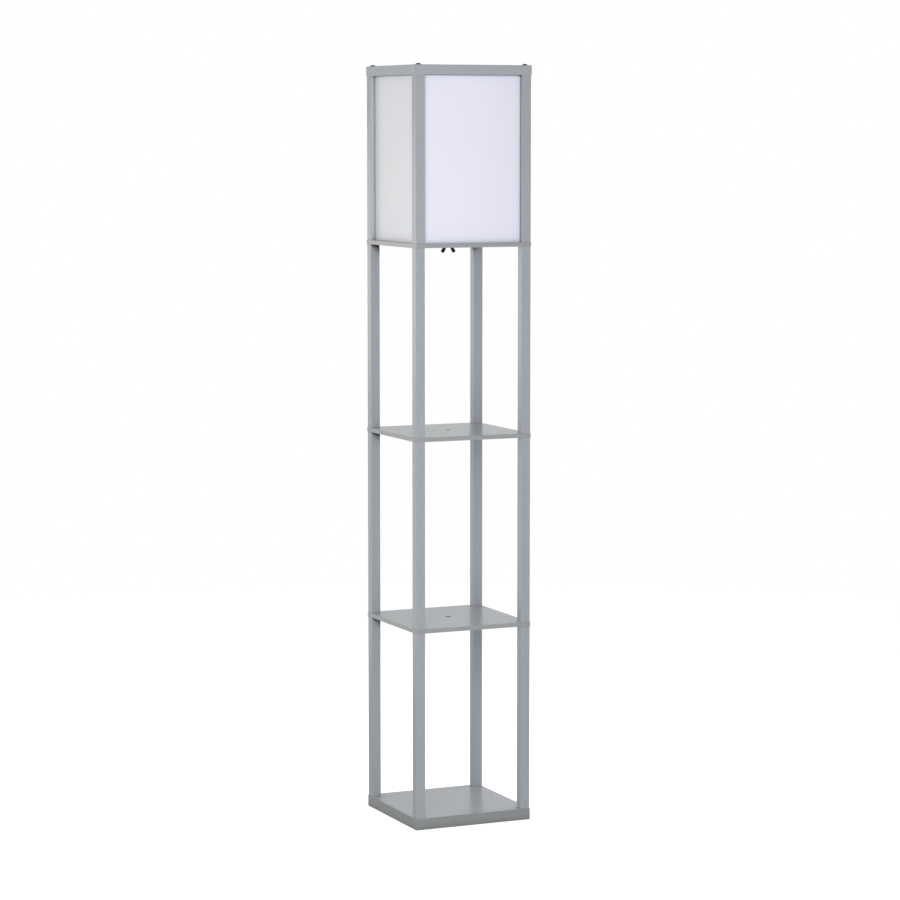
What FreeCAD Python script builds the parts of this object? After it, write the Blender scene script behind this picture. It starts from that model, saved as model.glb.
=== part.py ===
import FreeCAD, Part
import os
import math

# Shelf floor lamp: a square column of grey boards and square posts, three open
# bays below and a lit box with four pale panels on top.
# Frame: origin on the floor under the column's axis, +X to the right along the
# front face, +Y to the back, +Z up.  Millimetres.

V = FreeCAD.Vector

# ---------------------------------------------------------------- dimensions
BOARD = 260.0            # side of the base, of both shelves and of the shade floor
BASE_T = 24.0            # base thickness
SHELF_T = 9.0            # shelf and shade floor thickness
BAY = 386.0              # clear height of each open bay
SHADE_H = 341.0          # clear height of the lit box
RAIL_H = 20.0            # height of the top frame
RAIL_W = 22.0            # width of a top frame rail
POST = 20.0              # side of a post
INSET = 1.2              # the posts stand this far in from the boards' edges

POST_EDGE_R = 0.8        # eased long edges of the posts
BOARD_CORNER_R = 2.0     # rounded corners of the boards, seen from above
BOARD_EDGE_R = 0.6       # eased edges of the boards

PANEL_T = 2.0            # shade panel thickness
GROOVE_NEAR = 7.0        # groove's outer wall, from the post's outer face
GROOVE_FAR = 13.6        # groove's inner wall, from the post's outer face
PANEL_NEAR = 11.4        # panel's outer face, from the post's outer face
GROOVE_DEPTH = 4.0       # groove depth in the posts
RAIL_GROOVE = 4.5        # groove depth in the rails
PANEL_IN_RAIL = 3.5      # how far a panel's top edge stands in the rail's groove
PANEL_SIDE_GAP = 0.5     # clearance between a panel's edge and its groove's bottom

STUD_R = 2.97            # M6 studs and bolts
STUD_HOLE_R = 3.3        # clearance holes for them in the boards and rails
INSERT_R = 4.0           # threaded inserts in the post ends
INSERT_L = 13.0
INSERT_BORE_R = 3.0
PILOT_R = 3.2            # drilled hole behind each insert
PILOT_L = 25.0           # its depth from the post's end
STUD_REACH = 18.0        # a stud or bolt enters each post this far

CENTRE_HOLE_R = 5.1      # hole in the middle of both shelves and the shade floor
NIPPLE_R = 4.95          # hollow M10 nipple of the lampholder
NIPPLE_BORE_R = 3.25     # the cord's way in
NIPPLE_DROP = 5.2        # nipple's length below the shade floor

WASHER_R = 9.0
WASHER_T = 1.2
HUB_R = 7.2              # wing nut
HUB_H = 3.8
WING_T = 2.6             # wing thickness
WING_W = 6.8             # wing width
WING_TILT = 32.0         # degrees from the vertical
WING_END_R = 13.9        # centre of a wing's end, from the axis
WING_END_DROP = 14.4     # and below the shade floor

# ---------------------------------------------------------------- levels
Z_BASE = BASE_T
Z_S1 = Z_BASE + BAY              # lower shelf underside
Z_S1T = Z_S1 + SHELF_T
Z_S2 = Z_S1T + BAY               # upper shelf underside
Z_S2T = Z_S2 + SHELF_T
Z_FL = Z_S2T + BAY               # shade floor underside
Z_FLT = Z_FL + SHELF_T
Z_TF = Z_FLT + SHADE_H           # top frame underside
Z_TOP = Z_TF + RAIL_H

H = BOARD / 2.0
P_OUT = H - INSET                # posts' outer faces
P_C = P_OUT - POST / 2.0         # posts' axes
P_IN = P_OUT - POST              # posts' inner faces

CORNERS = {
    "front_left": (-1, -1),
    "front_right": (1, -1),
    "back_left": (-1, 1),
    "back_right": (1, 1),
}

parts = {}


# ---------------------------------------------------------------- helpers
def box(x0, y0, z0, x1, y1, z1):
    """Box between two corners, given in any order."""
    lo = V(min(x0, x1), min(y0, y1), min(z0, z1))
    return Part.makeBox(abs(x1 - x0), abs(y1 - y0), abs(z1 - z0), lo)


def cyl(r, z0, z1, x=0.0, y=0.0):
    return Part.makeCylinder(r, z1 - z0, V(x, y, z0), V(0, 0, 1))


def vertical(e):
    a, b = e.Vertexes[0].Point, e.Vertexes[-1].Point
    return abs(a.x - b.x) < 1e-6 and abs(a.y - b.y) < 1e-6 and abs(a.z - b.z) > 1e-6


def eased_box(x0, y0, z0, x1, y1, z1, corner_r, edge_r):
    """Board with rounded corners and eased top and bottom edges."""
    s = box(x0, y0, z0, x1, y1, z1)
    s = s.makeFillet(corner_r, [e for e in s.Edges if vertical(e)])
    rims = [
        e
        for e in s.Edges
        if abs(e.BoundBox.ZMin - e.BoundBox.ZMax) < 1e-6
    ]
    return s.makeFillet(edge_r, rims)


def revolve(profile):
    """Solid of revolution about Z from (r, z) points; ("arc", mid, end) is an arc."""
    edges = []
    start = profile[0]
    here = start
    for item in list(profile[1:]) + [start]:
        if item[0] == "arc":
            mid, end = item[1], item[2]
            edges.append(
                Part.Arc(V(here[0], 0, here[1]), V(mid[0], 0, mid[1]), V(end[0], 0, end[1])).toShape()
            )
            here = end
        else:
            if abs(item[0] - here[0]) > 1e-9 or abs(item[1] - here[1]) > 1e-9:
                edges.append(Part.LineSegment(V(here[0], 0, here[1]), V(item[0], 0, item[1])).toShape())
            here = item
    face = Part.Face(Part.Wire(edges))
    solid = face.revolve(V(0, 0, 0), V(0, 0, 1), 360)
    if solid.Volume < 0:
        solid = solid.reversed()
    return solid


def prism_xz(points, y0, y1):
    """Polygon in the XZ plane, extruded along Y."""
    w = Part.makePolygon([V(x, y0, z) for x, z in points] + [V(points[0][0], y0, points[0][1])])
    return Part.Face(w).extrude(V(0, y1 - y0, 0))


def prism_xy(points, z0, z1):
    """Polygon in the XY plane, extruded along Z."""
    w = Part.makePolygon([V(x, y, z0) for x, y in points] + [V(points[0][0], points[0][1], z0)])
    return Part.Face(w).extrude(V(0, 0, z1 - z0))


# ---------------------------------------------------------------- posts
def post(sx, sy, z0, z1, grooved=False):
    cx, cy = sx * P_C, sy * P_C
    s = box(cx - POST / 2, cy - POST / 2, z0, cx + POST / 2, cy + POST / 2, z1)
    s = s.makeFillet(POST_EDGE_R, [e for e in s.Edges if vertical(e)])
    # seat of the threaded insert and the pilot hole behind it, at both ends
    s = s.cut(cyl(INSERT_R, z0 - 1, z0 + INSERT_L, cx, cy))
    s = s.cut(cyl(PILOT_R, z0 - 1, z0 + PILOT_L, cx, cy))
    s = s.cut(cyl(INSERT_R, z1 - INSERT_L, z1 + 1, cx, cy))
    s = s.cut(cyl(PILOT_R, z1 - PILOT_L, z1 + 1, cx, cy))
    if grooved:
        near, far = P_OUT - GROOVE_NEAR, P_OUT - GROOVE_FAR
        # groove for the front or back panel, in the face towards the other side
        s = s.cut(box(sx * (P_IN - 1), sy * near, z0 - 1, sx * (P_IN + GROOVE_DEPTH), sy * far, z1 + 1))
        # groove for the left or right panel
        s = s.cut(box(sx * near, sy * (P_IN - 1), z0 - 1, sx * far, sy * (P_IN + GROOVE_DEPTH), z1 + 1))
    return s


for corner, (sx, sy) in CORNERS.items():
    parts["lower_post_" + corner] = post(sx, sy, Z_BASE, Z_S1)
    parts["middle_post_" + corner] = post(sx, sy, Z_S1T, Z_S2)
    parts["upper_post_" + corner] = post(sx, sy, Z_S2T, Z_FL)
    parts["shade_post_" + corner] = post(sx, sy, Z_FLT, Z_TF, grooved=True)


# ---------------------------------------------------------------- boards
BOLT_HEAD_R = 5.0        # base bolts: socket cap head in a counterbore
BOLT_HEAD_H = 5.0
BOLT_WASHER_R = 6.2
BOLT_WASHER_T = 1.4
COUNTERBORE_R = 6.8
COUNTERBORE_D = 8.0

base = eased_box(-H, -H, 0, H, H, BASE_T, 1.6, 0.8)
for sx, sy in CORNERS.values():
    base = base.cut(cyl(STUD_HOLE_R, -1, BASE_T + 1, sx * P_C, sy * P_C))
    base = base.cut(cyl(COUNTERBORE_R, -1, COUNTERBORE_D, sx * P_C, sy * P_C))
parts["base_panel"] = base


def shelf(z0):
    s = eased_box(-H, -H, z0, H, H, z0 + SHELF_T, BOARD_CORNER_R, BOARD_EDGE_R)
    for sx, sy in CORNERS.values():
        s = s.cut(cyl(STUD_HOLE_R, z0 - 1, z0 + SHELF_T + 1, sx * P_C, sy * P_C))
    return s.cut(cyl(CENTRE_HOLE_R, z0 - 1, z0 + SHELF_T + 1))


parts["lower_shelf"] = shelf(Z_S1)
parts["upper_shelf"] = shelf(Z_S2)
parts["shade_floor"] = shelf(Z_FL)

# ---------------------------------------------------------------- top frame
# Four mitred rails.  Their undersides are grooved for the panels' top edges.
ring = eased_box(-H, -H, Z_TF, H, H, Z_TOP, 1.6, 1.2)
r_in = H - RAIL_W
ring = ring.cut(box(-r_in, -r_in, Z_TF - 1, r_in, r_in, Z_TOP + 1))
for sx, sy in CORNERS.values():
    ring = ring.cut(cyl(STUD_HOLE_R, Z_TF - 1, Z_TOP + 1, sx * P_C, sy * P_C))
g_near, g_far, g_end = P_OUT - GROOVE_NEAR, P_OUT - GROOVE_FAR, P_IN + GROOVE_DEPTH
for s in (-1, 1):
    ring = ring.cut(box(-g_end, s * g_near, Z_TF - 1, g_end, s * g_far, Z_TF + RAIL_GROOVE))
    ring = ring.cut(box(s * g_near, -g_end, Z_TF - 1, s * g_far, g_end, Z_TF + RAIL_GROOVE))

a, b = H + 5.0, 40.0
WEDGES = {
    "top_rail_front": [(-a, -a), (a, -a), (b, -b), (-b, -b)],
    "top_rail_back": [(-a, a), (a, a), (b, b), (-b, b)],
    "top_rail_left": [(-a, -a), (-a, a), (-b, b), (-b, -b)],
    "top_rail_right": [(a, -a), (a, a), (b, b), (b, -b)],
}
for name, outline in WEDGES.items():
    parts[name] = ring.common(prism_xy(outline, Z_TF - 1, Z_TOP + 1))

# ---------------------------------------------------------------- shade panels
p_out = P_OUT - PANEL_NEAR
p_in = p_out - PANEL_T
p_half = g_end - PANEL_SIDE_GAP
p_top = Z_TF + PANEL_IN_RAIL
parts["shade_panel_front"] = box(-p_half, -p_out, Z_FLT, p_half, -p_in, p_top)
parts["shade_panel_back"] = box(-p_half, p_in, Z_FLT, p_half, p_out, p_top)
parts["shade_panel_left"] = box(-p_out, -p_half, Z_FLT, -p_in, p_half, p_top)
parts["shade_panel_right"] = box(p_in, -p_half, Z_FLT, p_out, p_half, p_top)

# ---------------------------------------------------------------- fastenings
SOCKET_R = 1.9           # hexagon sockets


def hexagon(r, z0, z1, x, y):
    pts = [(x + r * math.cos(math.radians(60 * k)), y + r * math.sin(math.radians(60 * k))) for k in range(6)]
    return prism_xy(pts, z0, z1)


def stud(z_board_low, z_board_high, x, y):
    """Double-ended stud through a board, with a hexagon socket in its top end."""
    z0, z1 = z_board_low - STUD_REACH, z_board_high + STUD_REACH
    s = cyl(STUD_R, z0, z1, x, y)
    s = s.makeChamfer(0.6, [e for e in s.Edges if isinstance(e.Curve, Part.Circle)])
    return s.cut(hexagon(1.7, z1 - 4, z1 + 1, x, y))


def insert(z0, z1, x, y):
    s = cyl(INSERT_R - 0.02, z0, z1, x, y)
    # two knurled bands with a neck between them
    neck = cyl(INSERT_R + 1, z0 + 5.8, z0 + 7.2, x, y).cut(cyl(INSERT_R - 0.5, z0 + 5, z0 + 8, x, y))
    return s.cut(neck).cut(cyl(INSERT_BORE_R, z0 - 1, z1 + 1, x, y))


def group(make):
    return Part.makeCompound([make(sx * P_C, sy * P_C) for sx, sy in CORNERS.values()])


parts["studs_lower_shelf"] = group(lambda x, y: stud(Z_S1, Z_S1T, x, y))
parts["studs_upper_shelf"] = group(lambda x, y: stud(Z_S2, Z_S2T, x, y))
parts["studs_shade_floor"] = group(lambda x, y: stud(Z_FL, Z_FLT, x, y))


def base_bolt(x, y):
    head0 = COUNTERBORE_D - BOLT_WASHER_T - BOLT_HEAD_H
    s = cyl(BOLT_HEAD_R, head0, head0 + BOLT_HEAD_H, x, y)
    s = s.makeChamfer(0.5, [e for e in s.Edges if isinstance(e.Curve, Part.Circle) and e.BoundBox.ZMax < head0 + 0.1])
    s = s.fuse(cyl(STUD_R, head0 + BOLT_HEAD_H - 0.5, Z_BASE + STUD_REACH, x, y))
    return s.cut(hexagon(2.9, head0 - 1, head0 + 3.2, x, y))


def base_washer(x, y):
    z0 = COUNTERBORE_D - BOLT_WASHER_T
    return cyl(BOLT_WASHER_R, z0, z0 + BOLT_WASHER_T, x, y).cut(cyl(3.2, z0 - 1, z0 + BOLT_WASHER_T + 1, x, y))


parts["base_bolts"] = group(base_bolt)
parts["base_washers"] = group(base_washer)

TOP_HEAD_R = 5.5         # low round heads seen on the top frame
TOP_HEAD_H = 2.8


def top_screw(x, y):
    z0 = Z_TOP
    # domed head: a short rim, then a shallow cap
    prof = [(0, z0), (TOP_HEAD_R, z0), (TOP_HEAD_R, z0 + 0.9),
            ("arc", (TOP_HEAD_R * 0.72, z0 + 2.15), (0, z0 + TOP_HEAD_H))]
    s = revolve(prof)
    s.translate(V(x, y, 0))
    s = s.fuse(cyl(STUD_R, Z_TF - STUD_REACH, z0 + 0.5, x, y))
    return s.cut(hexagon(2.3, z0 + 0.8, z0 + 5, x, y))


parts["top_screws"] = group(top_screw)


def inserts(z0, z1):
    made = []
    for sx, sy in CORNERS.values():
        made.append(insert(z0, z0 + INSERT_L, sx * P_C, sy * P_C))
        made.append(insert(z1 - INSERT_L, z1, sx * P_C, sy * P_C))
    return Part.makeCompound(made)


parts["inserts_lower_posts"] = inserts(Z_BASE, Z_S1)
parts["inserts_middle_posts"] = inserts(Z_S1T, Z_S2)
parts["inserts_upper_posts"] = inserts(Z_S2T, Z_FL)
parts["inserts_shade_posts"] = inserts(Z_FLT, Z_TF)

# ---------------------------------------------------------------- lampholder
Z0 = Z_FLT               # it stands on the shade floor
CAP_R = 20.0
CAP_H = 27.0
LEDGE = 14.0             # ledge inside the cap that carries the contact block
BLOCK_H = 9.0
SKIRT_H = 36.0

z_ledge = Z0 + LEDGE
z_block = z_ledge + BLOCK_H
z_cap = Z0 + CAP_H
z_skirt = z_cap + SKIRT_H

parts["lampholder_nipple"] = revolve([
    (NIPPLE_BORE_R, Z_FL - NIPPLE_DROP), (NIPPLE_R - 0.5, Z_FL - NIPPLE_DROP),
    (NIPPLE_R, Z_FL - NIPPLE_DROP + 0.5), (NIPPLE_R, Z0 + 6.5), (NIPPLE_R - 0.5, Z0 + 7.0),
    (NIPPLE_BORE_R, Z0 + 7.0)])

parts["lampholder_cap"] = revolve([
    (5.0, Z0), (9.5, Z0), (9.5, Z0 + 2.0), ("arc", (16.9, Z0 + 4.6), (CAP_R, Z0 + 11.0)),
    (CAP_R, z_cap), (18.25, z_cap), (18.25, z_ledge), (16.6, z_ledge), (16.6, Z0 + 9.5),
    (12.5, Z0 + 5.0), (5.0, Z0 + 5.0)])

block = revolve([
    (0, z_ledge), (18.1, z_ledge), (18.1, z_block), (0, z_block)])
# wire ways on two sides, and the holes of the two terminal screws
for s in (-1, 1):
    block = block.cut(box(-3, s * 14.5, z_ledge - 1, 3, s * 20, z_block + 1))
    block = block.cut(cyl(1.6, z_ledge - 1, z_ledge + 6.0, s * 8.0, 0))
parts["contact_block"] = block


def terminal_screw(x):
    s = cyl(2.8, z_ledge - 2.2, z_ledge, x, 0).fuse(cyl(1.5, z_ledge - 0.5, z_ledge + 5.5, x, 0))
    return s.cut(box(x - 3, -0.4, z_ledge - 3, x + 3, 0.4, z_ledge - 1.3))


parts["terminal_screws"] = Part.makeCompound([terminal_screw(-8.0), terminal_screw(8.0)])

# skirt: its spigot stands in the cap and holds the contact block down
parts["lampholder_skirt"] = revolve([
    (14.75, z_block), (18.1, z_block), (18.1, z_cap), (CAP_R, z_cap), (CAP_R, z_skirt - 1.5),
    (CAP_R - 1.2, z_skirt), (16.4, z_skirt), (15.8, z_skirt - 0.6), (15.8, z_skirt - 9.0), (14.75, z_skirt - 10.5)])

# screw shell with rolled beads
SHELL_IN, SHELL_OUT = 13.55, 14.2
parts["screw_shell"] = revolve([
    (SHELL_IN, z_block), (SHELL_OUT, z_block), (SHELL_OUT, z_skirt - 13.0), (14.55, z_skirt - 12.0),
    (14.55, z_skirt - 11.4), (14.0, z_skirt - 11.4), (SHELL_IN, z_skirt - 12.6)])

# sprung centre contact
parts["centre_contact"] = prism_xz([
    (-9.0, z_block), (-1.6, z_block), (2.6, z_block + 3.0), (2.6, z_block + 3.5),
    (1.6, z_block + 3.5), (-2.0, z_block + 0.6), (-9.0, z_block + 0.6)], -2.5, 2.5)

# ---------------------------------------------------------------- bulb
z_b = z_block + 3.6      # its tip
z_c0 = z_b + 4.5         # foot of the screw cap
PITCH = 3.63             # lamp cap thread
profile = [(0, z_c0), (10.5, z_c0)]
z = z_c0 + 1.6
profile.append((12.25, z))
for k in range(5):
    profile.append(("arc", (13.15, z + PITCH / 2), (12.25, z + PITCH)))
    z += PITCH
z_c1 = z + 3.0
profile += [(12.9, z + 0.6), (12.9, z_c1), (0, z_c1)]
parts["bulb_screw_cap"] = revolve(profile)
parts["bulb_contact"] = revolve([
    (0, z_b), ("arc", (2.2, z_b + 0.35), (3.4, z_b + 1.1)), (4.2, z_b + 1.2), (9.6, z_c0), (0, z_c0)])

BULB_R = 30.0
z_eq = z_c1 + 56.0       # the bulb's widest level
z_rim = z_eq - 10.0
r_rim = math.sqrt(BULB_R ** 2 - 10.0 ** 2)
parts["bulb_housing"] = revolve([
    (0, z_c1), (13.3, z_c1), (13.9, z_c1 + 0.8), (13.9, z_c1 + 3.0),
    ("arc", (19.4, z_c1 + 23.5), (r_rim, z_rim)), (r_rim - 1.6, z_rim), (r_rim - 1.6, z_rim - 5.0),
    (23.6, z_rim - 5.0), ("arc", (17.0, z_c1 + 22.0), (11.4, z_c1 + 3.0)), (0, z_c1 + 3.0)])

led = revolve([(0, z_rim - 5.0), (r_rim - 1.8, z_rim - 5.0), (r_rim - 1.8, z_rim - 3.4), (0, z_rim - 3.4)])
for k in range(10):
    ang = math.radians(36 * k)
    cx, cy = 17.0 * math.cos(ang), 17.0 * math.sin(ang)
    led = led.fuse(box(cx - 1.4, cy - 1.4, z_rim - 3.6, cx + 1.4, cy + 1.4, z_rim - 2.7))
parts["led_board"] = led

r2 = BULB_R - 1.3
parts["bulb_diffuser"] = revolve([
    (r_rim, z_rim), ("arc", (BULB_R * math.cos(math.radians(30)), z_eq + BULB_R * math.sin(math.radians(30))), (0, z_eq + BULB_R)),
    (0, z_eq + r2), ("arc", (r2 * math.cos(math.radians(30)), z_eq + r2 * math.sin(math.radians(30))),
                     (math.sqrt(r2 ** 2 - 64.0), z_eq - 8.0)),
    (25.4, z_eq - 9.2), (25.4, z_rim - 3.2), (r_rim - 1.75, z_rim - 3.2), (r_rim - 1.75, z_rim)])

# ---------------------------------------------------------------- clamping
zw = Z_FL - WASHER_T
parts["clamp_washer"] = revolve([
    (5.2, zw), (WASHER_R - 0.3, zw), (WASHER_R, zw + 0.3), (WASHER_R, Z_FL - 0.3),
    (WASHER_R - 0.3, Z_FL), (5.2, Z_FL)])

# wing nut under the washer, its wings splayed down and outwards
hub = revolve([
    (5.0, zw), (HUB_R + 0.8, zw), (HUB_R + 0.8, zw - 0.8), (HUB_R, zw - HUB_H + 0.5),
    (HUB_R - 0.5, zw - HUB_H), (5.0, zw - HUB_H)])
ax, az = math.sin(math.radians(WING_TILT)), -math.cos(math.radians(WING_TILT))
px, pz = -az, ax
reach = 14.0
nut = hub
for s in (-1, 1):
    ex, ez = WING_END_R, Z_FL - WING_END_DROP
    hw = WING_W / 2
    quad = [
        (s * (ex + hw * px), ez + hw * pz), (s * (ex - hw * px), ez - hw * pz),
        (s * (ex - hw * px - reach * ax), ez - hw * pz - reach * az),
        (s * (ex + hw * px - reach * ax), ez + hw * pz - reach * az)]
    wing = prism_xz(quad, -WING_T / 2, WING_T / 2)
    # the wing's two end corners are rounded a little
    ends = [
        e for e in wing.Edges
        if abs(e.BoundBox.YMax - e.BoundBox.YMin) > WING_T - 0.1
        and math.hypot(abs(e.BoundBox.Center.x) - ex, e.BoundBox.Center.z - ez) < hw + 0.3
    ]
    wing = wing.makeFillet(0.9, ends)
    wing = wing.cut(box(-40, -20, zw - 0.9, 40, 20, zw + 20))
    wing = wing.cut(cyl(6.0, zw - 40, zw + 10))
    nut = nut.fuse(wing)
parts["wing_nut"] = nut.removeSplitter()

# ---------------------------------------------------------------- write
os.makedirs("parts", exist_ok=True)
for name, shape in parts.items():
    for solid in shape.Solids:
        if not solid.isValid():
            print("invalid solid in", name)
    bb = shape.BoundBox
    print("%-26s %2d solid(s) %12.1f mm3  x %8.2f..%8.2f y %8.2f..%8.2f z %8.2f..%8.2f" % (
        name, len(shape.Solids), shape.Volume, bb.XMin, bb.XMax, bb.YMin, bb.YMax, bb.ZMin, bb.ZMax))
    if len(shape.Solids) == 1:
        shape = shape.Solids[0]
    shape.exportStep(os.path.join("parts", name + ".step"))
print(len(parts), "nodes, height", Z_TOP)
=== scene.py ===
import math

import bmesh
import bpy
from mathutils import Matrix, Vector


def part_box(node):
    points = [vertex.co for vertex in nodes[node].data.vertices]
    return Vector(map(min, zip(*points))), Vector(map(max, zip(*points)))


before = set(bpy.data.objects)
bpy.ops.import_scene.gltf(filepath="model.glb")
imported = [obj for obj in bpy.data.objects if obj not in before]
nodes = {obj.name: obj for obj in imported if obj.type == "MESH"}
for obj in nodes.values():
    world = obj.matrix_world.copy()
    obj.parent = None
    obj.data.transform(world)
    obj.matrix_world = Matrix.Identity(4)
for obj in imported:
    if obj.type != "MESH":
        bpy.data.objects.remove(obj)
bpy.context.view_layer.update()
scene = bpy.context.scene
MM = 0.001


# ------------------------------------------------------------------ materials
class Mat:
    """A principled material with a few helpers for its node tree."""

    def __init__(self, name, color, rough, metal=0.0, spec=0.5, ior=1.5):
        self.mat = bpy.data.materials.new(name)
        self.mat.use_nodes = True
        self.t = self.mat.node_tree
        self.t.nodes.clear()
        self.out = self.t.nodes.new("ShaderNodeOutputMaterial")
        self.p = self.t.nodes.new("ShaderNodeBsdfPrincipled")
        self.t.links.new(self.p.outputs[0], self.out.inputs[0])
        self.p.inputs["Base Color"].default_value = (*color, 1)
        self.p.inputs["Roughness"].default_value = rough
        self.p.inputs["Metallic"].default_value = metal
        self.p.inputs["Specular IOR Level"].default_value = spec
        self.p.inputs["IOR"].default_value = ior
        self.coord = self.t.nodes.new("ShaderNodeTexCoord")
        self.normal = None

    def node(self, kind, **values):
        n = self.t.nodes.new("ShaderNode" + kind)
        for k, v in values.items():
            setattr(n, k, v)
        return n

    def link(self, a, b):
        self.t.links.new(a, b)

    def noise(self, scale, detail=3.0, rough=0.5, stretch=(1, 1, 1), seed=(0, 0, 0)):
        """Noise in the object's own space; scale is in cycles per metre."""
        mp = self.node("Mapping")
        mp.inputs["Scale"].default_value = stretch
        mp.inputs["Location"].default_value = seed
        self.link(self.coord.outputs["Object"], mp.inputs["Vector"])
        n = self.node("TexNoise")
        n.inputs["Scale"].default_value = scale
        n.inputs["Detail"].default_value = detail
        n.inputs["Roughness"].default_value = rough
        self.link(mp.outputs[0], n.inputs["Vector"])
        return n.outputs["Fac"]

    def maprange(self, src, a, b, lo, hi):
        m = self.node("MapRange")
        m.clamp = True
        for i, v in enumerate((a, b, lo, hi)):
            m.inputs[i + 1].default_value = v
        self.link(src, m.inputs[0])
        return m.outputs[0]

    def math(self, op, a, b=None):
        m = self.node("Math", operation=op)
        for i, v in enumerate((a, b)):
            if v is None:
                continue
            if isinstance(v, (int, float)):
                m.inputs[i].default_value = v
            else:
                self.link(v, m.inputs[i])
        return m.outputs[0]

    def scale_color(self, src_color, fac):
        """src_color times fac."""
        m = self.node("VectorMath", operation="SCALE")
        if isinstance(src_color, (tuple, list)):
            m.inputs[0].default_value = src_color[:3]
        else:
            self.link(src_color, m.inputs[0])
        self.link(fac, m.inputs["Scale"])
        return m.outputs[0]

    def mix_color(self, fac, a, b):
        m = self.node("Mix", data_type="RGBA")
        for sock, v in ((m.inputs[6], a), (m.inputs[7], b)):
            if isinstance(v, (tuple, list)):
                sock.default_value = (*v[:3], 1)
            else:
                self.link(v, sock)
        self.link(fac, m.inputs[0])
        return m.outputs[2]

    def bump(self, height, distance, strength=1.0):
        b = self.node("Bump")
        b.inputs["Strength"].default_value = strength
        b.inputs["Distance"].default_value = distance
        self.link(height, b.inputs["Height"])
        if self.normal is not None:
            self.link(self.normal, b.inputs["Normal"])
        self.normal = b.outputs[0]
        self.link(self.normal, self.p.inputs["Normal"])

    def set(self, name, src):
        self.link(src, self.p.inputs[name])


def edge_mask(m, radius, lo=0.02, hi=0.25):
    """1 on edges, 0 on flats, from how far a bevelled normal leans away."""
    bev = m.node("Bevel", samples=4)
    bev.inputs["Radius"].default_value = radius
    geo = m.node("NewGeometry")
    dot = m.node("VectorMath", operation="DOT_PRODUCT")
    m.link(bev.outputs[0], dot.inputs[0])
    m.link(geo.outputs["Normal"], dot.inputs[1])
    lean = m.math("SUBTRACT", 1.0, dot.outputs["Value"])
    return m.maprange(lean, lo, hi, 0.0, 1.0)


def painted_crevice_shade(m, reach, lo, hi, dark, up=0.0, out=0.0):
    """Painted shade: 1 in the open, falling to dark where a neighbour closes the corner in.
    up leans the feeler towards the sky, so that it finds what hangs over the face,
    and out leans it to the lamp's nearer side on faces that look to the front or back."""
    ao = m.node("AmbientOcclusion", samples=8)
    ao.inputs["Distance"].default_value = reach
    if up:
        geo = m.node("NewGeometry")
        lean = m.node("VectorMath", operation="ADD")
        lean.inputs[1].default_value = (0, 0, up)
        m.link(geo.outputs["Normal"], lean.inputs[0])
        if out:
            place = m.node("SeparateXYZ")
            m.link(m.coord.outputs["Object"], place.inputs[0])
            turn = m.node("SeparateXYZ")
            m.link(geo.outputs["Normal"], turn.inputs[0])
            aside = m.node("CombineXYZ")
            side = m.maprange(place.outputs["X"], -0.01, 0.01, -out, out)
            m.link(m.math("MULTIPLY", side, m.math("ABSOLUTE", turn.outputs["Y"])), aside.inputs["X"])
            aside.inputs["Z"].default_value = up
            m.link(aside.outputs[0], lean.inputs[1])
        unit = m.node("VectorMath", operation="NORMALIZE")
        m.link(lean.outputs[0], unit.inputs[0])
        m.link(unit.outputs[0], ao.inputs["Normal"])
    return m.maprange(ao.outputs["AO"], lo, hi, dark, 1.0)


GREY = (0.363, 0.390, 0.419)
RAIL_GREY = tuple(1.05 * c for c in GREY)


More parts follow.
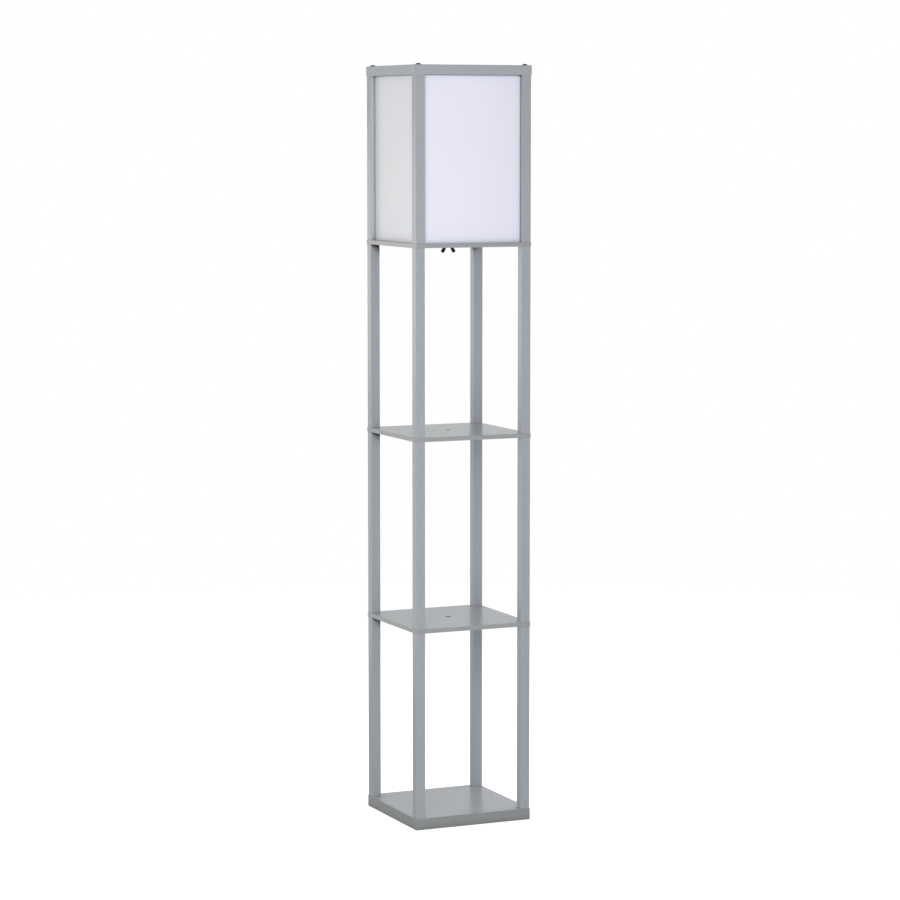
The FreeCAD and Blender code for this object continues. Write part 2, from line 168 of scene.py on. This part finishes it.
def grey_foil(name, grain_axis, band=None, tone=GREY, painted_shadows=(), bore=0.0, mitre=False, cheek_light_and_shade=None):
    """Satin grey foil on fibreboard: a faint pressed grain, fine pores, paler edges that are partly wear and partly
    a painted highlight.
    On a board, band is the tone of the strip glued round its edges."""
    m = Mat(name, tone, 0.27)
    stretch = {"X": (0.06, 1, 1), "Y": (1, 0.06, 1), "Z": (1, 1, 0.06)}[grain_axis]
    cloud = m.noise(9.0, 2.0, 0.5)
    grain = m.noise(700.0, 4.0, 0.6, stretch)
    pores = m.noise(2600.0, 2.0, 0.5)
    f = m.math("ADD", m.maprange(cloud, 0.3, 0.7, 0.985, 1.015),
               m.maprange(grain, 0.3, 0.7, -0.012, 0.012))
    base = tone
    wear_and_highlight = 0.22
    if band:
        geo = m.node("NewGeometry")
        sep = m.node("SeparateXYZ")
        m.link(geo.outputs["Normal"], sep.inputs[0])
        flat = m.maprange(m.math("ABSOLUTE", sep.outputs["Z"]), 0.6, 0.8, 0.0, 1.0)
        base = m.mix_color(flat, band, tone)
        # the glued strip is a little streaky along its length
        streak = m.maprange(m.noise(420.0, 4.0, 0.65, (0.05, 0.05, 1.6)), 0.35, 0.65, 0.93, 1.05)
        keep = m.node("Mix", data_type="FLOAT")
        m.link(flat, keep.inputs[0])
        m.link(streak, keep.inputs[2])
        keep.inputs[3].default_value = 1.0
        f = m.math("MULTIPLY", f, keep.outputs[0])
    if bore:
        # the drilled wall in the middle is painted near-black, a painted shade for the dark inside the hole
        far = m.node("VectorMath", operation="LENGTH")
        flatten = m.node("VectorMath", operation="MULTIPLY")
        flatten.inputs[1].default_value = (1, 1, 0)
        m.link(m.coord.outputs["Object"], flatten.inputs[0])
        m.link(flatten.outputs[0], far.inputs[0])
        f = m.math("MULTIPLY", f, m.maprange(far.outputs["Value"], bore, bore + 0.0005, 0.04, 1.0))
        wear_and_highlight = m.maprange(far.outputs["Value"], bore, bore + 0.002, 0.0, wear_and_highlight)
    if mitre:
        # the glue line of the mitres, along the diagonals of the frame
        parts = m.node("SeparateXYZ")
        m.link(m.coord.outputs["Object"], parts.inputs[0])
        off = m.math("ABSOLUTE", m.math("SUBTRACT", m.math("ABSOLUTE", parts.outputs["X"]), m.math("ABSOLUTE", parts.outputs["Y"])))
        f = m.math("MULTIPLY", f, m.maprange(off, 0.0002, 0.0005, 0.45, 1.0))
    if cheek_light_and_shade:
        # painted light and shade on the strips of a post that stand proud of the panels beside it: darker beside the
        # front and back panels, lighter beside the side panels
        turn = m.node("SeparateXYZ")
        m.link(m.node("NewGeometry").outputs["Normal"], turn.inputs[0])
        at = m.node("SeparateXYZ")
        m.link(m.coord.outputs["Object"], at.inputs[0])
        for a, b, tint in (("X", "Y", cheek_light_and_shade[0]), ("Y", "X", cheek_light_and_shade[1])):
            inward = m.math("MULTIPLY", turn.outputs[a], m.maprange(at.outputs[a], -0.01, 0.01, 1.0, -1.0))
            outer = m.maprange(m.math("ABSOLUTE", at.outputs[b]), 0.1160, 0.1166, 0.0, 1.0)
            where = m.math("MULTIPLY", m.maprange(inward, 0.6, 0.9, 0.0, 1.0), outer)
            f = m.math("MULTIPLY", f, m.maprange(where, 0.0, 1.0, 1.0, tint))
    dull = 0.0
    # painted shadows: the foil is darkened where a neighbour closes the corner in, as contact shade
    for how in painted_shadows:
        shade = painted_crevice_shade(m, *how)
        f = m.math("MULTIPLY", f, shade)
        dull = m.maprange(shade, 0.0, 0.5, 0.6, 0.0)
    col = m.scale_color(base, f)
    edge = edge_mask(m, 0.0011)
    # paler edges: partly wear, partly a painted highlight on the rounded edges
    worn_and_highlit = m.math("MULTIPLY", edge, m.maprange(m.noise(60.0, 3.0, 0.6), 0.42, 0.6, 0.15, 1.0))
    col = m.mix_color(m.math("MULTIPLY", worn_and_highlit, wear_and_highlight), col, (0.56, 0.57, 0.58))
    m.set("Base Color", col)
    m.set("Roughness", m.math("ADD", m.math("ADD", m.maprange(pores, 0.3, 0.7, 0.25, 0.30), m.math("MULTIPLY", edge, 0.04)), dull))
    m.bump(grain, 0.00005, 0.35)
    m.bump(pores, 0.00002, 0.35)
    return m.mat


def sheet_plastic(name, color, groove_shade=1.0):
    """Translucent matt white sheet: very fine calendered texture.
    groove_shade is the painted shade on what stands in the posts' grooves."""
    m = Mat(name, color, 0.46)
    m.p.inputs["Subsurface Weight"].default_value = 0.12
    m.p.inputs["Subsurface Radius"].default_value = (0.003, 0.003, 0.0035)
    m.p.inputs["Subsurface Scale"].default_value = 1.0
    cloud = m.noise(7.0, 2.0, 0.5)
    fibre = m.noise(900.0, 3.0, 0.6)
    f = m.math("ADD", m.maprange(cloud, 0.3, 0.7, 0.99, 1.01), m.maprange(fibre, 0.3, 0.7, -0.006, 0.006))
    # painted shade: a dark line along the top of the sheet, under the rail
    f = m.math("MULTIPLY", f, painted_crevice_shade(m, 0.008, 0.30, 0.40, 0.15, 1.19))
    # painted shade on the ends of the sheet that stand inside the grooves
    if groove_shade < 1.0:
        at = m.node("SeparateXYZ")
        m.link(m.coord.outputs["Object"], at.inputs[0])
        f = m.math("MULTIPLY", f, m.maprange(m.math("ABSOLUTE", at.outputs["X"]), 0.1080, 0.1092, 1.0, groove_shade))
    m.set("Base Color", m.scale_color(color, f))
    m.set("Roughness", m.maprange(fibre, 0.3, 0.7, 0.43, 0.5))
    m.bump(fibre, 0.00003, 0.3)
    return m.mat


def metal(name, color, rough, brush=(1, 1, 0.05), scale=1500.0, metal_=1.0, tint=None, spec=0.5):
    m = Mat(name, color, rough, metal_, spec)
    fine = m.noise(scale, 3.0, 0.6, brush)
    patch = m.noise(90.0, 3.0, 0.6)
    edge = edge_mask(m, 0.0006)
    col = m.scale_color(color, m.maprange(patch, 0.3, 0.7, 0.9, 1.08))
    col = m.mix_color(m.math("MULTIPLY", edge, 0.45), col, tint or tuple(min(1.0, c * 1.5 + 0.02) for c in color))
    m.set("Base Color", col)
    m.set("Roughness", m.maprange(fine, 0.3, 0.7, rough - 0.06, rough + 0.08))
    m.bump(fine, 0.00003, 0.4)
    return m.mat


def moulded(name, color, rough, sss=0.0, scale=1800.0):
    m = Mat(name, color, rough)
    if sss:
        m.p.inputs["Subsurface Weight"].default_value = sss
        m.p.inputs["Subsurface Radius"].default_value = (0.004, 0.004, 0.004)
        m.p.inputs["Subsurface Scale"].default_value = 1.0
    fine = m.noise(scale, 2.0, 0.5)
    patch = m.noise(40.0, 2.0, 0.5)
    m.set("Base Color", m.scale_color(color, m.maprange(patch, 0.3, 0.7, 0.96, 1.04)))
    m.set("Roughness", m.maprange(fine, 0.3, 0.7, rough - 0.04, rough + 0.05))
    m.bump(fine, 0.00003, 0.3)
    return m.mat


def led_board():
    """White board with yellow chips: the chips stand above the board's face."""
    m = Mat("led_board", (0.85, 0.85, 0.84), 0.4)
    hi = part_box("led_board")[1].z
    sep = m.node("SeparateXYZ")
    m.link(m.coord.outputs["Object"], sep.inputs[0])
    chip = m.maprange(sep.outputs["Z"], hi - 0.0006, hi - 0.0005, 0.0, 1.0)
    fine = m.noise(1500.0)
    col = m.mix_color(chip, (0.85, 0.85, 0.84), (0.86, 0.68, 0.16))
    m.set("Base Color", m.scale_color(col, m.maprange(fine, 0.3, 0.7, 0.97, 1.03)))
    m.bump(fine, 0.00002, 0.2)
    return m.mat


post_foil = grey_foil("grey_foil_post", "Z")
# the back posts carry near-black painted shadows just under each board
back_post_foil = grey_foil("grey_foil_back_post", "Z", painted_shadows=((0.04, 0.30, 0.44, 0.02, 1.19, 0.9),))
# the shade posts carry painted shade under the rails and beside the panel grooves, and painted light and shade on
# their cheeks
shade_post_foil = grey_foil("grey_foil_shade_post", "Z", painted_shadows=((0.012, 0.12, 0.20, 0.8, 1.19),), cheek_light_and_shade=(0.85, 1.25))
rail_foil = {a: grey_foil("grey_foil_rail_" + a.lower(), a, tone=RAIL_GREY, mitre=True) for a in "XY"}
# the shelves and the base carry painted shade round the feet of the posts
shelf_foil = grey_foil("grey_foil_shelf", "X", (0.336, 0.350, 0.350), painted_shadows=((0.03, 0.5, 0.72, 0.74),), bore=0.0055)
base_foil = grey_foil("grey_foil_base", "X", (0.284, 0.297, 0.296), painted_shadows=((0.03, 0.5, 0.72, 0.74),))
# one sheet in two tints: the front and back sheets a cooler lavender, the side sheets a more neutral white, painted
# to stand for the different light on them
panel_mat = sheet_plastic("shade_sheet", (0.850, 0.845, 0.968), 0.45)
side_panel_mat = sheet_plastic("shade_sheet_side", (0.866, 0.870, 0.907))
black_steel = metal("black_zinc", (0.010, 0.010, 0.011), 0.42, (1, 1, 1), 1200.0, 0.0, (0.05, 0.05, 0.05), 0.3)
zinc = metal("bright_zinc", (0.62, 0.63, 0.64), 0.3)
brass = metal("brass", (0.72, 0.53, 0.22), 0.3)
nickel = metal("nickel", (0.66, 0.64, 0.60), 0.24, (1, 1, 0.2))
black_plastic = moulded("black_thermoplastic", (0.022, 0.022, 0.024), 0.36)
white_plastic = moulded("white_plastic", (0.82, 0.82, 0.80), 0.3, 0.05)
ceramic = moulded("white_ceramic", (0.78, 0.77, 0.73), 0.22, 0.05, 900.0)
opal = moulded("opal_diffuser", (0.88, 0.88, 0.87), 0.42, 0.25)
led = led_board()


def finish_of(node):
    if node in ("top_rail_left", "top_rail_right"):
        return rail_foil["Y"]
    if "_post_" in node and not node.startswith("inserts"):
        if node.startswith("shade"):
            return shade_post_foil
        return back_post_foil if "_back_" in node else post_foil
    if node in ("top_rail_front", "top_rail_back"):
        return rail_foil["X"]
    if node in ("lower_shelf", "upper_shelf", "shade_floor"):
        return shelf_foil
    if node == "base_panel":
        return base_foil
    if node.startswith("shade_panel"):
        return side_panel_mat if node in ("shade_panel_left", "shade_panel_right") else panel_mat
    return {
        "top_screws": black_steel, "wing_nut": black_steel, "clamp_washer": black_steel,
        "lampholder_cap": black_plastic, "lampholder_skirt": black_plastic, "bulb_contact": black_plastic,
        "contact_block": ceramic, "screw_shell": brass, "centre_contact": brass, "terminal_screws": brass,
        "bulb_screw_cap": nickel, "bulb_housing": white_plastic, "bulb_diffuser": opal, "led_board": led,
    }.get(node, zinc)


for name, obj in nodes.items():
    obj.data.materials.clear()
    obj.data.materials.append(finish_of(name))

# ------------------------------------------------------------------ stage
FLOOR_R = 7.0


def floor():
    bm = bmesh.new()
    rings, sides = 24, 96
    centre = bm.verts.new((0, 0, 0))
    last = None
    for i in range(1, rings + 1):
        r = FLOOR_R * (i / rings) ** 1.6
        ring = [bm.verts.new((r * math.cos(2 * math.pi * k / sides), r * math.sin(2 * math.pi * k / sides), 0)) for k in range(sides)]
        for k in range(sides):
            a, b = ring[k], ring[(k + 1) % sides]
            if last is None:
                bm.faces.new((centre, a, b))
            else:
                bm.faces.new((last[k], a, b, last[(k + 1) % sides]))
        last = ring
    me = bpy.data.meshes.new("studio_floor")
    bm.to_mesh(me)
    bm.free()
    o = bpy.data.objects.new("studio_floor", me)
    scene.collection.objects.link(o)
    o.location.z = -0.0003
    m = bpy.data.materials.new("studio_floor")
    m.use_nodes = True
    t = m.node_tree
    t.nodes.clear()
    out = t.nodes.new("ShaderNodeOutputMaterial")
    seen = t.nodes.new("ShaderNodeBsdfDiffuse")
    seen.inputs[0].default_value = (0.93, 0.93, 0.93, 1)
    # the floor is as white as the surround to the camera, and throws a soft light up at the lamp
    glow = t.nodes.new("ShaderNodeEmission")
    glow.inputs[1].default_value = 0.281
    grey = t.nodes.new("ShaderNodeBsdfDiffuse")
    grey.inputs[0].default_value = (0.34, 0.34, 0.34, 1)
    bounced = t.nodes.new("ShaderNodeAddShader")
    t.links.new(grey.outputs[0], bounced.inputs[0])
    t.links.new(glow.outputs[0], bounced.inputs[1])
    bright = t.nodes.new("ShaderNodeEmission")
    bright.inputs[1].default_value = 0.58
    lit = t.nodes.new("ShaderNodeAddShader")
    t.links.new(seen.outputs[0], lit.inputs[0])
    t.links.new(bright.outputs[0], lit.inputs[1])
    path = t.nodes.new("ShaderNodeLightPath")
    pick = t.nodes.new("ShaderNodeMixShader")
    t.links.new(path.outputs["Is Camera Ray"], pick.inputs[0])
    t.links.new(bounced.outputs[0], pick.inputs[1])
    t.links.new(lit.outputs[0], pick.inputs[2])
    # the floor fades into the white surround away from the lamp
    coord = t.nodes.new("ShaderNodeTexCoord")
    length = t.nodes.new("ShaderNodeVectorMath")
    length.operation = "LENGTH"
    t.links.new(coord.outputs["Object"], length.inputs[0])
    fade = t.nodes.new("ShaderNodeMapRange")
    fade.interpolation_type = "SMOOTHSTEP"
    fade.inputs[1].default_value = 1.2
    fade.inputs[2].default_value = 4.5
    t.links.new(length.outputs["Value"], fade.inputs[0])
    # and is clear when looked at from underneath
    geo = t.nodes.new("ShaderNodeNewGeometry")
    either = t.nodes.new("ShaderNodeMath")
    either.operation = "MAXIMUM"
    t.links.new(fade.outputs[0], either.inputs[0])
    t.links.new(geo.outputs["Backfacing"], either.inputs[1])
    seen_fade = t.nodes.new("ShaderNodeMath")
    seen_fade.operation = "MULTIPLY"
    t.links.new(either.outputs[0], seen_fade.inputs[0])
    t.links.new(path.outputs["Is Camera Ray"], seen_fade.inputs[1])
    clear = t.nodes.new("ShaderNodeBsdfTransparent")
    both = t.nodes.new("ShaderNodeMixShader")
    t.links.new(seen_fade.outputs[0], both.inputs[0])
    t.links.new(pick.outputs[0], both.inputs[1])
    t.links.new(clear.outputs[0], both.inputs[2])
    t.links.new(both.outputs[0], out.inputs[0])
    me.materials.append(m)


floor()

# ------------------------------------------------------------------ light
world = bpy.data.worlds.new("studio")
scene.world = world
world.use_nodes = True
wt = world.node_tree
wt.nodes.clear()
w_out = wt.nodes.new("ShaderNodeOutputWorld")
w_seen = wt.nodes.new("ShaderNodeBackground")
w_seen.inputs[0].default_value = (1, 1, 1, 1)
w_light = wt.nodes.new("ShaderNodeBackground")
w_light.name = "ambient"
w_light.inputs[0].default_value = (1, 1, 1, 1)
w_light.inputs[1].default_value = 0.438
w_path = wt.nodes.new("ShaderNodeLightPath")
w_pick = wt.nodes.new("ShaderNodeMixShader")
wt.links.new(w_path.outputs["Is Camera Ray"], w_pick.inputs[0])
wt.links.new(w_light.outputs[0], w_pick.inputs[1])
wt.links.new(w_seen.outputs[0], w_pick.inputs[2])
wt.links.new(w_pick.outputs[0], w_out.inputs[0])


def softbox(name, place, aim, size, power, color=(1, 1, 1), spread=180):
    d = bpy.data.lights.new(name, "AREA")
    d.shape = "RECTANGLE"
    d.size, d.size_y = size
    d.energy = power
    d.color = color
    d.spread = math.radians(spread)
    o = bpy.data.objects.new(name, d)
    scene.collection.objects.link(o)
    o.location = place
    o.rotation_mode = "QUATERNION"
    o.rotation_quaternion = (Vector(aim) - Vector(place)).to_track_quat("-Z", "Y")
    o.visible_camera = False
    return o


# boxes on a ring 2 m from the lamp: (degrees round from the front, height, watts, colour)
WARM, COOL, PLAIN = (1.0, 0.99, 0.95), (0.985, 0.99, 1.0), (1, 1, 1)
for deg, z, power, tint in (
        (330, 1.10, 11.8, COOL), (330, 0.35, 6.3, COOL), (330, 1.90, 3.8, COOL), (0, 1.90, 2.8, COOL),
        (210, 1.10, 3.3, WARM), (210, 0.35, 1.7, WARM), (210, 1.90, 2.0, WARM),
        (150, 1.10, 1.2, PLAIN), (150, 0.35, 0.9, PLAIN), (180, 1.10, 1.6, PLAIN), (270, 1.10, 1.5, WARM),
        (90, 0.35, 9.0, PLAIN), (90, 1.10, 6.0, PLAIN), (90, 1.90, 2.0, PLAIN)):
    r = math.radians(deg)
    softbox("box_%03d_%03d" % (deg, round(z * 100)), (2.0 * math.sin(r), -2.0 * math.cos(r), z), (0, 0, min(z, 1.3)),
            (0.9, 0.8 if z > 1.5 else 0.7), power, tint)

# a narrow box straight above, for the inside of the open lit box
softbox("box_above", (0, 0, 2.4), (0, 0, 1.4), (0.1, 0.1), 0.1, PLAIN, 22)

# ------------------------------------------------------------------ camera
AZ, YAW, PITCH = -0.4188, -0.0006, 0.1044
DIST, HEIGHT, FOCAL_PX = 6.4, 1.44255, 3074.02
cam = bpy.data.cameras.new("camera")
cam.sensor_width = 36.0
cam.lens = FOCAL_PX / 900.0 * 36.0
cam.clip_start, cam.clip_end = 0.1, 60.0
cam_obj = bpy.data.objects.new("camera", cam)
scene.collection.objects.link(cam_obj)
cam_obj.location = (math.sin(AZ) * DIST, -math.cos(AZ) * DIST, HEIGHT)
a = AZ + YAW
look = Vector((-math.sin(a) * math.cos(PITCH), math.cos(a) * math.cos(PITCH), -math.sin(PITCH)))
cam_obj.rotation_mode = "QUATERNION"
cam_obj.rotation_quaternion = look.to_track_quat("-Z", "Y")
scene.camera = cam_obj

scene.view_settings.view_transform = "Standard"
scene.view_settings.look = "None"
scene.view_settings.exposure = 0.0
scene.view_settings.gamma = 1.0
